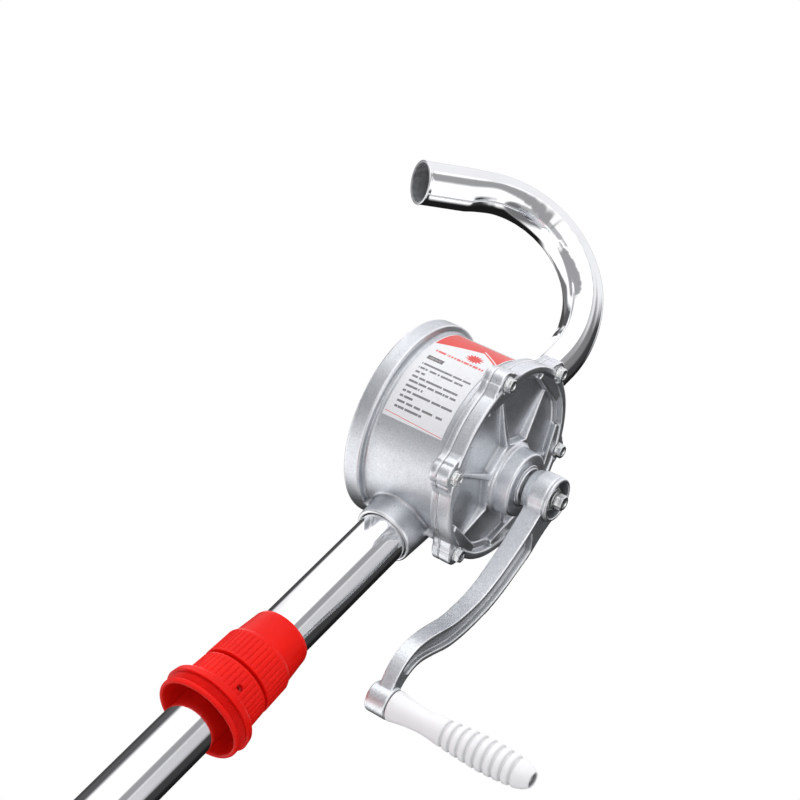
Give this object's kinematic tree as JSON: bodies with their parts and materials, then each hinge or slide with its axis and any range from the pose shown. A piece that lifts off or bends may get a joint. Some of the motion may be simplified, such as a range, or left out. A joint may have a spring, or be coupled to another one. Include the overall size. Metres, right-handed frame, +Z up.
{
  "type": "hand-cranked rotary barrel pump",
  "caption": "Hand-cranked rotary vane drum pump: round cast barrel with an eccentric cover and crank, chromed suction tube and swivel spout, and a sliding red bung adapter.",
  "frame": {"origin": "on the drum seat, the ring-shaped underside of the bung adapter's flange that rests on the drum, at the ring's foremost point towards the crank; the suction tube's axis is parallel to Z through (0, 0.0296) m", "axes": "+Z up along the suction tube and spout socket; the crank and cover face -Y; the barrel is offset towards -X from the tube"},
  "size_m": [0.1481, 0.3155, 1.1909],
  "materials": {
    "cast_aluminium": "sand-cast, tumbled satin",
    "cover_aluminium": "die-cast, satin grey",
    "chromed_tube": "bright nickel-chrome plate",
    "red_plastic": "injection moulded, semi-gloss",
    "white_plastic": "injection moulded, soft gloss",
    "zinc_plate": "bright zinc plate",
    "plain_steel": "turned steel",
    "rotor_iron": "turned cast iron",
    "bush_bronze": "turned bronze",
    "black_rubber": "moulded nitrile rubber",
    "label_paper": "printed film, no lettering",
    "vane_composite": "carbon-filled composite",
    "gasket": "compressed fibre sheet",
    "packing": "braided graphite packing"
  },
  "bodies": {
    "pump": {"pump_body": "cast_aluminium", "front_cover": "cover_aluminium", "cover_gasket": "gasket", "cover_bolt_1": "zinc_plate", "cover_bolt_2": "zinc_plate", "cover_bolt_3": "zinc_plate", "cover_bolt_4": "zinc_plate", "cover_bolt_5": "zinc_plate", "cover_bolt_6": "zinc_plate", "label": "label_paper", "rear_bush": "bush_bronze", "front_bush": "bush_bronze", "gland_packing": "packing", "gland_nut": "cover_aluminium", "suction_tube_upper": "chromed_tube", "suction_tube_middle": "chromed_tube", "suction_tube_lower": "chromed_tube", "tube_nipple_upper": "plain_steel", "tube_nipple_lower": "plain_steel", "inlet_seal": "black_rubber", "spout_seal": "black_rubber"},
    "crank": {"drive_shaft": "plain_steel", "rotor": "rotor_iron", "rotor_pin": "plain_steel", "vane_upper": "vane_composite", "vane_lower": "vane_composite", "vane_spring_upper": "plain_steel", "vane_spring_lower": "plain_steel", "crank_arm": "cast_aluminium", "crank_washer": "zinc_plate", "crank_bolt": "zinc_plate", "grip_screw": "zinc_plate"},
    "handle_grip": {"grip": "white_plastic"},
    "discharge_spout": {"spout": "chromed_tube"},
    "bung_adapter": {"adapter_body": "red_plastic", "adapter_seal": "black_rubber"},
    "clamp_nut": {"adapter_clamp_nut": "red_plastic"}
  },
  "joints": [
    {"name": "crank_turn", "type": "hinge", "parent": "pump", "child": "crank", "pos_m": [-0.0119, 0.0296, 0.2495], "axis": [0, -1, 0], "continuous": true},
    {"name": "grip_spin", "type": "hinge", "parent": "crank", "child": "handle_grip", "pos_m": [0.0187, -0.0704, 0.0771], "axis": [0, -1, 0], "continuous": true},
    {"name": "spout_swivel", "type": "hinge", "parent": "pump", "child": "discharge_spout", "pos_m": [0, 0.0296, 0.3], "axis": [0, 0, 1], "range_deg": [-140, 70]},
    {"name": "adapter_slide", "type": "slide", "parent": "pump", "child": "bung_adapter", "axis": [0, 0, 1], "range_m": [-0.55, 0.09]},
    {"name": "clamp_nut_turn", "type": "hinge", "parent": "bung_adapter", "child": "clamp_nut", "pos_m": [0, 0.0296, 0.06], "axis": [0, 0, 1], "range_deg": [0, 300]}
  ]
}
